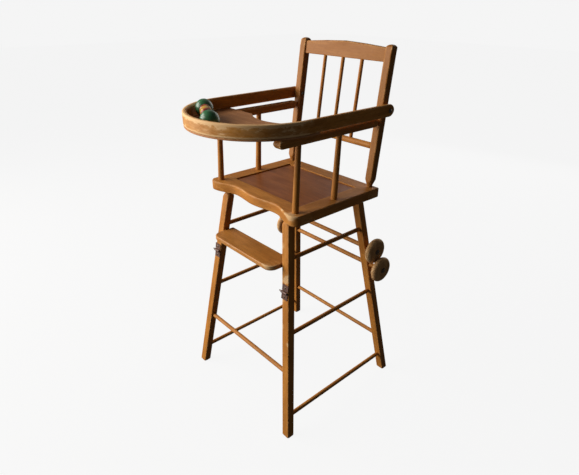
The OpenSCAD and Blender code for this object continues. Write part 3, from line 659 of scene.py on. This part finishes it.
def plate(outline, low, high, radius, margin=0.5 * MM, steps=4):
    """Rings of a rounded plate in its own directions (a, b, depth). On a rounding the ring is
    drawn in by radius * (1 - sin t) and lies radius * (1 - cos t) from the face."""
    outline = np.asarray(outline, float)
    normal = outline_normals(outline)
    t = np.linspace(0, math.pi / 2, steps)
    inset = radius * (1 - np.sin(t))
    rise = radius * (1 - np.cos(t))
    draw = np.concatenate([[radius + margin], inset, inset[::-1], [radius + margin]])
    depth = np.concatenate([[low], low + rise, high - rise[::-1], [high]])
    wear = np.concatenate([[0], np.ones(2 * steps), [0]])
    rings = np.empty((len(draw), len(outline), 3))
    rings[..., :2] = outline[None] - normal[None] * draw[:, None, None]
    rings[..., 2] = depth[:, None]
    return rings, wear[:, None]


def corner_arcs(low, high, radii, steps):
    """Angles and points of a rectangle's round corners, anticlockwise from the low corner.
    Each corner is its centre plus radius * (cos a, sin a)."""
    arcs = []
    for k, ((sx, sy), r) in enumerate(zip(CORNERS, radii)):
        a = math.pi * (1 + k / 2) + np.linspace(0, math.pi / 2, steps)
        centre = np.array([(low[0] + r) if sx < 0 else (high[0] - r),
                           (low[1] + r) if sy < 0 else (high[1] - r)])
        arcs.append((a, centre + r * np.stack([np.cos(a), np.sin(a)], -1)))
    return arcs


def rounded_outline(low, high, radii, steps):
    """A rectangle from low to high with round corners."""
    return np.concatenate([arc for _, arc in corner_arcs(low, high, radii, steps)])


def filled(outline, spacing):
    """The same closed outline with extra points, so that none are further apart than spacing."""
    after = np.roll(outline, -1, 0)
    parts = []
    for here, there in zip(outline, after):
        count = max(1, int(math.ceil(np.linalg.norm(there - here) / spacing)))
        parts.append(here + (there - here) * (np.arange(count) / count)[:, None])
    return np.concatenate(parts)


play = 0.3 * MM  # between the panel and the frame
low = (-panel_x + play, middle_y - panel_front + play)
high = (panel_x - play, middle_y + panel_rear - play)
panel = filled(rounded_outline(low, high, [1.6 * MM] * 4, 4), 0.02)
rings, wear = plate(panel, seat_top - 9 * MM, seat_top - 3 * MM, 0.5 * MM)
piece("seat_panel", [skin(rings, wear * 0.6, rings[..., ALONG_X])], "chair", seat_ply)
print("panel", made[-1])

# %% [markdown]
# ## Seat frame
#
# Four rails frame the panel. The front and back rails run right across, and the side rails
# fit between them. Each rail is a rounded section carried along its length; the front one
# changes its depth from ring to ring, which draws the double curve of the seat's front edge.
# A ledge along the inner foot of each rail carries the panel.

# %% Seat rails
def section_between(a0, a1, b0, b1, radii):
    """Rounded section from (a0, b0) to (a1, b1) with its own radius at each corner, and with
    two more points beside every rounding where wear has faded."""
    loop, edge = [], []
    for t, arc in corner_arcs((a0, b0), (a1, b1), radii, 5):
        first = np.array([math.sin(t[0]), -math.cos(t[0])])
        last = np.array([-math.sin(t[-1]), math.cos(t[-1])])
        loop += [arc[:1] + first * 3 * MM, arc, arc[-1:] + last * 3 * MM]
        edge += [[0.0], np.ones(5), [0.0]]
    return np.concatenate(loop), np.concatenate(edge)


def bow(x):
    """Depth of the front edge behind the corners' tips: two hollows, joined by cosines."""
    flat, hollow, mid = seat_x - 18 * MM, 19 * MM, 11 * MM
    half = flat / 2
    x = np.abs(x)
    inner = hollow + (mid - hollow) * (1 + np.cos(np.pi * x / half)) / 2
    outer = hollow * (1 + np.cos(np.pi * (x - half) / half)) / 2
    corner = 18 * MM - np.sqrt(np.clip((18 * MM) ** 2 - (x - flat) ** 2, 0, None))
    return np.where(x < half, inner, np.where(x < flat, outer, corner))


ledge_w = 10 * MM


def ledge(a0, a1, b0, b1, along_x):
    """A straight strip under the panel's edge, from a0 to a1 along the rail."""
    loop = section_between(b0, b1, seat_under, seat_top - 9 * MM, [0.5 * MM] * 4)[0]
    stations = np.array([a0, a1])
    rings = np.empty((2, len(loop), 3))
    rings[..., 0 if along_x else 1] = stations[:, None]
    rings[..., 1 if along_x else 0] = loop[None, :, 0]
    rings[..., 2] = loop[None, :, 1]
    return skin(rings, 0.2, rings[..., ALONG_X if along_x else ALONG_Y])


corner_x = seat_x - 18 * MM * (1 - np.cos(np.linspace(math.pi / 2, 0.18, 9)))
x = np.concatenate([-corner_x[::-1], np.linspace(-0.143, 0.143, 61), corner_x])
x = np.unique(np.round(np.concatenate([-seat_x + np.array([0, 0.15, 0.8, 2.0]) * MM, x,
                                       seat_x - np.array([0, 0.15, 0.8, 2.0]) * MM]), 6))
rings, wear = [], []
for station in x:
    tip = np.clip((seat_x - abs(station)) / (2.5 * MM), 0, 1)
    trim = 2.5 * MM * (1 - math.sqrt(1 - (1 - tip) ** 2))
    front_edge = middle_y - seat_y + float(bow(station))
    loop, edge = section_between(front_edge, middle_y - panel_front, seat_under + trim,
                                 seat_top - trim, [3 * MM, 0.6 * MM, 0.6 * MM, 3.2 * MM])
    rings.append(np.column_stack([np.full(len(loop), station), loop]))
    wear.append(np.maximum(edge, 0.8 * (1 - tip)))
rings = np.array(rings)
worn_corner = [((0.140, -0.107, 0.583), 0.012, 1.6), ((0.150, -0.106, 0.578), 0.012, 1.4),
               ((0.136, -0.105, 0.583), 0.006, 1.2), ((0.108, -0.098, 0.584), 0.006, 0.8)]
wear = np.array(wear) + spots(rings, worn_corner)
opening_front, opening_rear = middle_y - panel_front, middle_y + panel_rear
front_ledge = ledge(-panel_x, panel_x, opening_front - MM, opening_front + ledge_w, True)
beech_piece("seat_front_rail", [skin(rings, wear, rings[..., ALONG_X]), front_ledge])

loop, edge = section_between(middle_y + panel_rear, middle_y + seat_y, seat_under, seat_top,
                             [0.6 * MM, 2.5 * MM, 2.5 * MM, 0.6 * MM])
x = np.concatenate([-seat_x + np.array([0, 0.3, 1.0, 2.2]) * MM, np.linspace(-0.15, 0.15, 21),
                    seat_x - np.array([2.2, 1.0, 0.3, 0]) * MM])
rings = np.repeat(loop[None], len(x), 0)
shrink = np.where(np.abs(x) > seat_x - 1.5 * MM, (np.abs(x) - seat_x + 1.5 * MM) ** 2 / (1.5 * MM), 0)
middle = np.array([[middle_y + (panel_rear + seat_y) / 2, (seat_under + seat_top) / 2]])
half = np.array([(seat_y - panel_rear) / 2, 12 * MM])
rings = middle + (rings - middle) * (1 - shrink[:, None, None] / half)
rings = np.concatenate([np.broadcast_to(x[:, None, None], (*rings.shape[:2], 1)), rings], -1)
wear = np.maximum(edge[None], (shrink[:, None] > 0) * 0.8)
back_ledge = ledge(-panel_x, panel_x, opening_rear - ledge_w, opening_rear + MM, True)
beech_piece("seat_back_rail", [skin(rings, wear, rings[..., ALONG_X]), back_ledge])

for side, hand in SIDES:
    a, b = sorted((side * panel_x, side * seat_x))
    inner_r, outer_r = 0.6 * MM, 2.5 * MM
    radii = [inner_r, outer_r, outer_r, inner_r] if side == LEFT else [outer_r, inner_r, inner_r, outer_r]
    loop, edge = section_between(a, b, seat_under, seat_top, radii)
    y = middle_y + np.concatenate([[-panel_front, -panel_front + 0.5 * MM],
                                   np.linspace(-0.08, 0.092, 18), [panel_rear - 0.5 * MM, panel_rear]])
    rings = np.repeat(loop[None], len(y), 0)
    middle = np.array([[(a + b) / 2, (seat_under + seat_top) / 2]])
    pull = np.zeros(len(y))
    pull[[0, -1]] = 0.5 * MM
    rings = middle + (rings - middle) * (1 - pull[:, None, None] / np.array([20.5 * MM, 12 * MM]))
    rings = np.stack([rings[..., 0], np.broadcast_to(y[:, None], rings.shape[:2]), rings[..., 1]], -1)
    inner = sorted((side * (panel_x - ledge_w), side * (panel_x + MM)))
    reach_in = ledge_w + 0.2 * MM
    side_ledge = ledge(opening_front + reach_in, opening_rear - reach_in, *inner, False)
    beech_piece(f"seat_side_rail_{hand}", [skin(rings, edge[None], rings[..., ALONG_Y]), side_ledge])
print("rails", made[-4:])

# %% [markdown]
# ## Back posts, crest rail and spindles
#
# The posts are legs turned upside down: sharpened at the foot, where a short round peg shows
# above the seat, and domed at the top. The crest rail is a plate whose outline rises to a blunt
# peak and which leans back with the posts. Posts and crest get painted shade: darker than the legs.

# %% Posts
# painted shade that makes the posts and the crest rail darker than the legs
BACK_PAINTED_SHADE = 0.60
for side, hand in SIDES:
    section, edge = rounded_section(post_w, post_d, 3.0 * MM)
    z = np.concatenate([np.linspace(seat_top - 6 * MM, seat_top + 20 * MM, 14),
                        np.arange(seat_top + 28 * MM, post_top - 12 * MM, 9 * MM)])
    cone = np.clip(7 + 6.4 * (z - seat_top - 4 * MM) / (16 * MM), 7, 30) * MM
    x, y = post_centre(z)
    rings, grain = upright_rings(z, (side * x, y + middle_y), section, cone)
    dome = np.linspace(0, 1.48, 7)
    top_z = post_top - 7 * MM + 7 * MM * np.sin(dome)
    x, y = post_centre(np.full(len(dome), post_top))
    top, top_grain = upright_rings(top_z, (side * x, y + middle_y), section, np.full(len(dome), 1.0))
    centre = np.stack([side * x, y + middle_y], -1)[:, None]
    top[..., :2] = centre + (top[..., :2] - centre) * np.cos(dome)[:, None, None]
    rings, grain = np.concatenate([rings, top]), np.concatenate([grain, top_grain])
    wear = edge[None] + np.where(rings[..., 2] > post_top - 8 * MM, 0.5, 0)
    beech_piece(f"back_post_{hand}", [skin(rings, wear, grain)], shade=BACK_PAINTED_SHADE)

# %% Crest rail
low_z, end_z = seat_top + 280 * MM, seat_top + 309 * MM
half_low = float(post_centre(low_z)[0]) - post_w / 2 + 2 * MM
half_end = float(post_centre(end_z)[0]) - post_w / 2 + 2 * MM
rise = np.array([(half_end, end_z), (half_end / 2, end_z + 4.4 * MM), (6 * MM, end_z + 6.8 * MM)])
peak = [(0, end_z + 7 * MM)]
crest = np.concatenate([[(-half_low, low_z), (half_low, low_z)], rise, peak, rise[::-1] * [-1, 1]])
rings, wear = plate(filled(crest, 0.012), -6 * MM, 6 * MM, 1.8 * MM)
lean = post_centre(rings[..., 1])[1] + middle_y
placed = np.stack([rings[..., 0], lean + rings[..., 2], rings[..., 1]], -1)
beech_piece("crest_rail", [skin(placed, wear, rings[..., ALONG_X])], shade=BACK_PAINTED_SHADE)

# %% Lower back rail and spindles
rail_z = seat_top + 96 * MM
rail_x, rail_y = (float(c) for c in post_centre(rail_z))
half = rail_x - post_w / 2
tenon = 9 * MM
steps = np.array([tenon, 0.3 * MM, 0.2 * MM, -0.6 * MM])
x = np.concatenate([-half - steps, np.linspace(-0.12, 0.12, 11), (half + steps)[::-1]])
radii = np.array([5, 5, 7.0, 7.5, *[7.5] * 11, 7.5, 7.0, 5, 5]) * MM
span = half + tenon
rings, grain = turned((-span, rail_y + middle_y, rail_z), (span, rail_y + middle_y, rail_z),
                      (x + span) / (2 * span), radii)
beech_piece("lower_back_rail", [skin(rings, 0.4, grain)])
for i, name in ((1, "left"), (0, "centre"), (-1, "right")):
    ends = [(i * 60 * MM, float(post_centre(z)[1]) + middle_y, z) for z in (rail_z, low_z + 6 * MM)]
    bar(f"back_spindle_{name}", ends[0], ends[1], 4.5 * MM, "chair", wear=0.3)
print("back", made[-7:])

# %% [markdown]
# ## Armrests
#
# Each armrest has a rounded nose, square stock along its length and a sharpened rear end
# whose round tenon enters the back post. The nose is a half circle seen from the side, so
# its rings lose height towards the front as the square root of one minus a square.

# %% Armrests
arm_back = float(post_centre(arm_z)[1]) - post_d / 2
for side, hand in SIDES:
    section, edge = rounded_section(arm_w, arm_h, 3.2 * MM)
    nose = arm_h / 2
    back_off = nose * (1 - np.cos(np.linspace(0, math.pi / 2, 9)))
    y = np.concatenate([-arm_front + back_off, np.arange(-0.150, arm_back - 20 * MM, 9 * MM),
                        np.linspace(arm_back - 17 * MM, arm_back - 2 * MM, 8), [arm_back + 8 * MM]])
    squash = np.sqrt(np.clip(1 - (np.clip(nose - (y + arm_front), 0, None) / nose) ** 2, 0, 1))
    squash[0] = max(squash[0], 0.12)
    cone = np.where(y > arm_back - 17 * MM,
                    (15.5 - 10 * np.clip((y - arm_back + 17 * MM) / (15 * MM), 0, 1)) * MM, 1.0)
    pull = np.minimum(1, cone[:, None] / np.linalg.norm(section, axis=1))
    flat = section[None] * pull[..., None]
    rings = np.empty((len(y), len(section), 3))
    rings[..., 0] = side * arm_x + flat[..., 0]
    rings[..., 1] = (y + middle_y)[:, None]
    rings[..., 2] = arm_z + flat[..., 1] * squash[:, None]
    wear = edge[None] + np.where(y < 7 * MM - arm_front, 0.7, 0)[:, None]
    beech_piece(f"armrest_{hand}", [skin(rings, wear, rings[..., ALONG_Y])])
    for name, foot in (("front", -117 * MM), ("rear", 2 * MM)):
        x = side * (arm_x + MM)
        start = (x, foot + middle_y - 0.3 * MM, seat_top - 5 * MM)
        top = (x, foot + middle_y + 8.2 * MM, arm_z - arm_h / 2 + 4 * MM)
        bar(f"arm_spindle_{name}_{hand}", start, top, 7.6 * MM, "chair", 6.15 * MM, 0.45)
print("arms", made[-6:])

# %% [markdown]
# ## Tray
#
# The rim is one strip of beech, steam-bent round half a circle, with two straight arms that
# reach back to the pivots. Its section is carried along that line, and turned with it. The
# arms end in half circles round the pivot bolts. The board is a thin plate under the rim,
# with a curved cut-out towards the child. Hands have rubbed the rim's outer face bare round the
# bend, most of all towards its upper edge.

# %% Tray rim
slope = (tray_x - tray_r) / (arm_end_y - bend_y)
mid_r = tray_r - rim_t / 2 - 0.05 * MM
tip = np.sin(np.linspace(1.50, 0, 9)) * rim_h / 2
arm_y = np.concatenate([pivot_y + tip, np.linspace(pivot_y - 10 * MM, bend_y + 6 * MM, 26)])
arm = np.stack([mid_r + (arm_y - bend_y) * slope, arm_y], -1)
angle = np.linspace(0, -math.pi, 73)
bend = np.stack([mid_r * np.cos(angle), bend_y + mid_r * np.sin(angle)], -1)
line = np.concatenate([arm, bend, arm[::-1] * [-1, 1]])
tangent = np.gradient(line, axis=0)
tangent /= np.linalg.norm(tangent, axis=1)[:, None]
outward = np.stack([-tangent[:, 1], tangent[:, 0]], -1)
outward *= np.sign((outward * (line - [0, bend_y + 0.05])).sum(1))[:, None]
end_share = np.clip((line[:, 1] - pivot_y) / (rim_h / 2), 0, 0.9985)
height = np.sqrt(1 - end_share ** 2)
section, edge = rounded_section(rim_t, rim_h, 2.8 * MM, 5)
rings = np.empty((len(line), len(section), 3))
rings[..., :2] = line[:, None] + outward[:, None] * section[None, :, :1]
rings[..., 1] += middle_y
rings[..., 2] = pivot_z + section[None, :, 1] * height[:, None]
travel = np.concatenate([[0], np.cumsum(np.linalg.norm(np.diff(line, axis=0), axis=1))])
grain = np.empty_like(rings)
grain[..., :2] = section[None]
grain[..., 2] = travel[:, None]
round_front = np.clip((bend_y + 0.02 - line[:, 1]) / 0.06, 0, 1)[:, None]
upper = np.clip(section[None, :, 1] / (rim_h / 2), 0, 1)
outer = (section[None, :, 0] > 0) * 1.0
wear = edge[None] * (0.7 + 0.6 * round_front) + round_front * (0.8 * upper + 0.8) * outer
piece("tray_rim", [skin(rings, wear, grain)], "tray", tray_beech)
print("rim length", round(float(travel[-1]), 3))

# %% Tray board
cut_half, cut_deep, rear_edge = 66 * MM, 24 * MM, -66 * MM
cut_r = (cut_half ** 2 + cut_deep ** 2) / (2 * cut_deep)
edge_x = tray_r + (rear_edge - bend_y) * slope - 0.4 * MM
cut_angle = math.asin(cut_half / cut_r)
sweep = np.linspace(-cut_angle, cut_angle, 33)
cut = np.stack([cut_r * np.sin(sweep), rear_edge - cut_deep + cut_r * (1 - np.cos(sweep))], -1)[::-1]
front = np.linspace(math.pi, 2 * math.pi, 91)
front = np.stack([(tray_r - 0.4 * MM) * np.cos(front), bend_y + (tray_r - 0.4 * MM) * np.sin(front)], -1)
corner = np.linspace(0, math.pi / 2, 7)[:, None]
side_in = [edge_x - 3 * MM, rear_edge - 3 * MM] + 3 * MM * np.hstack([np.cos(corner), np.sin(corner)])
outline = np.concatenate([front, side_in, cut, side_in[::-1] * [-1, 1]]) + [0, middle_y]
rings, wear = plate(outline, board_z, rim_z, 0.9 * MM)
piece("tray_board", [skin(rings, wear * 0.8, rings[..., ALONG_X])], "tray", tray_ply)
print("board", made[-1])

# %% [markdown]
# ## Footrest
#
# A plank with two round corners at the front and all its edges eased, held between the legs.

# %% Footrest
low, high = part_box("footrest_board")
front_r, rear_r = 22 * MM, 3.5 * MM
outline = rounded_outline((low.x, low.y), (high.x, high.y), [front_r, front_r, rear_r, rear_r], 10)
outline = filled(outline, 12 * MM)
rings, wear = plate(outline, low.z, high.z, 2.6 * MM)
wear = wear + spots(rings, [((0.100, low.y + 0.012, high.z), 0.016, 1.9)])
piece("footrest_board", [skin(rings, wear, rings[..., ALONG_X])], "footrest", footrest_beech)
print("footrest", [round(c, 4) for c in (*low, *high)])

# %% [markdown]
# ## Wheels and beads
#
# These are turned on a lathe and have a hole right through, so the surface closes on itself
# in both directions: a closed profile carried round an axis. The wheels are plain beech with
# a ring groove; the beads are dipped in gloss paint.

# %% Lathe
def lathe(profile, centre, axis, points=64):
    """A closed profile of (radius, distance along the axis) turned round the axis: each point
    is centre + along * axis + radius * (cos a * side + sin a * other)."""
    profile = np.asarray(profile, float)
    axis = np.array(axis, float) / np.linalg.norm(axis)
    side = np.cross(axis, [0, 0, 1.0])
    side /= np.linalg.norm(side)
    other = np.cross(axis, side)
    ring = circle_section(points)
    rings = np.array(centre) + profile[:, None, 1:] * axis \
        + profile[:, None, :1] * (ring[None, :, :1] * side + ring[None, :, 1:] * other)
    grain = rings - np.array(centre)
    return rings, grain


def arc_points(centre, radius, start, end, count):
    """Points of an arc in the profile plane, angles in degrees from the radius direction."""
    a = np.radians(np.linspace(start, end, count))
    return np.stack([centre[0] + radius * np.cos(a), centre[1] + radius * np.sin(a)], -1)


for node in ("wheel_upper_left", "wheel_upper_right", "wheel_lower_left", "wheel_lower_right"):
    low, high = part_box(node)
    centre = (low + high) / 2
    radius, half = (high.z - low.z) / 2, (high.x - low.x) / 2
    bore = 4.55 * MM  # a radius, 0.05 mm more than the axle end's
    groove = arc_points((13.6 * MM, half), 1.2 * MM, 180, 360, 7)[::-1]
    face = np.concatenate([arc_points((radius - half, 0), half, 0, 86, 12),
                           [[radius - half - 1.0 * MM, half]], groove,
                           [[bore + 0.8 * MM, half], [bore, half - 0.8 * MM]]])
    profile = np.concatenate([face, face[::-1][:-1] * [1, -1]])
    rings, grain = lathe(profile, centre, (1, 0, 0), 96)
    wear = np.where(profile[:, 0] > radius - 7 * MM, 1.1, 0.1)[:, None]
    turned_skin = skin(rings, wear, grain[..., [1, 0, 2]], closed=True)
    piece(node, [turned_skin], node, wheel_wood, 50)
print("wheels", made[-4:])

# %% [markdown]
# Gloss paint on wood is not quite even: its tone changes slowly over a bead, and it is rubbed
# through at the rims.

# %% Painted finishes
def gloss_paint(name, light, dark):
    """Gloss paint with slow changes of tone, small chips and a faint unevenness."""
    material, tree, output = new_material(name)
    grain, wearing = worn(tree, -0.14)
    slow = noise(tree, grain, (60, 60, 60), 3)
    tone = mixed(tree, between(tree, slow, 0.35, 0.65), dark, light)
    tone = mixed(tree, times(tree, wearing.outputs["Bare"], 0.8), tone, BARE)
    rough = arithmetic(tree, "ADD", times(tree, wearing.outputs["Scuff"], 0.22), 0.36)
    uneven = noise(tree, grain, (300, 300, 300), 2)
    surface = surfaced(tree, output, tone, rough, bumped(tree, uneven, 0.10, 0.2 * MM))
    surface.inputs["Coat Weight"].default_value = 0.15
    surface.inputs["Coat Roughness"].default_value = 0.22
    return material


green = gloss_paint("green_paint", (0.042, 0.180, 0.072), (0.025, 0.115, 0.045))
red = gloss_paint("red_paint", (0.36, 0.045, 0.020), (0.24, 0.025, 0.012))
yellow = gloss_paint("yellow_paint", (0.62, 0.36, 0.045), (0.50, 0.26, 0.030))

# %% Beads
turn = math.radians(27)
rod_way = (math.cos(turn), -math.sin(turn), 0)
for node in ("bead_ball_rear", "bead_ball_front"):
    low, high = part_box(node)
    radius, bore = (high.z - low.z) / 2, 2.05 * MM
    start = math.degrees(math.asin(bore / radius))
    profile = arc_points((0, 0), radius, -90 + start, 90 - start, 41)
    rings, grain = lathe(profile, (low + high) / 2, rod_way)
    wear = np.where(profile[:, :1] < 6 * MM, 1.0, 0.1)
    piece(node, [skin(rings, wear, grain, closed=True)], node, green, 60)
for node, paint, slot, half in (("bead_disc_rear", red, "red_paint", 6.5),
                                ("bead_disc_middle", yellow, "yellow_paint", 13),
                                ("bead_disc_front", red, "red_paint", 6.5)):
    low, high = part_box(node)
    half, outer, ease, bore = half * MM, 13 * MM, 4 * MM, 2.05 * MM
    profile = np.concatenate([[[bore, -half]], arc_points((outer - ease, -half + ease), ease, -90, 0, 9),
                              arc_points((outer - ease, half - ease), ease, 0, 90, 9), [[bore, half]]])
    rings, grain = lathe(profile, (low + high) / 2, rod_way)
    wear = np.where(np.abs(profile[:, 1:]) > half - 1.5 * MM, 0.8, 0.2)
    piece(node, [skin(rings, wear, grain, closed=True)], node, paint, 60)
print("beads", made[-5:])

# %% [markdown]
# ## Metal fittings
#
# Hinge leaves, pins, screws, bolts and the bead rod keep their CAD shapes, and get a finish.
# The hinges were painted with the chair and have chipped; the screws are plated steel
# that has gone dull and brown.

# %% Metal finishes
def metal(name, bright, dull, metallic, roughness, scale):
    """Metal in two tones, dull in patches; the dull patches are rougher and less metallic."""
    material, tree, output = new_material(name)
    place = tree.nodes.new("ShaderNodeTexCoord").outputs["Object"]
    patches = between(tree, noise(tree, place, (scale,) * 3, 4, 0.65), 0.44, 0.58)
    fine = noise(tree, place, (scale * 5,) * 3, 2)
    tone = mixed(tree, patches, dull, bright)
    tone = mixed(tree, times(tree, fine, 0.35), tone, dull)
    rough = arithmetic(tree, "SUBTRACT", roughness + 0.25, times(tree, patches, 0.25))
    surface = surfaced(tree, output, tone, rough, bumped(tree, fine, 0.25, 0.3 * MM))
    tree.links.new(times(tree, patches, metallic), surface.inputs["Metallic"])
    return material


hinge_paint = metal("hinge_paint", (0.150, 0.062, 0.040), (0.070, 0.033, 0.024), 0.15, 0.42, 260)
steel = metal("screw_steel", (0.22, 0.17, 0.12), (0.07, 0.045, 0.030), 0.7, 0.42, 420)
for name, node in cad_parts.items():
    if node.hide_render:
        continue
    finish = hinge_paint if name.startswith("hinge_") else steel
    node.data.materials.clear()
    node.data.materials.append(finish)
print("fittings", [name for name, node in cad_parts.items() if not node.hide_render])
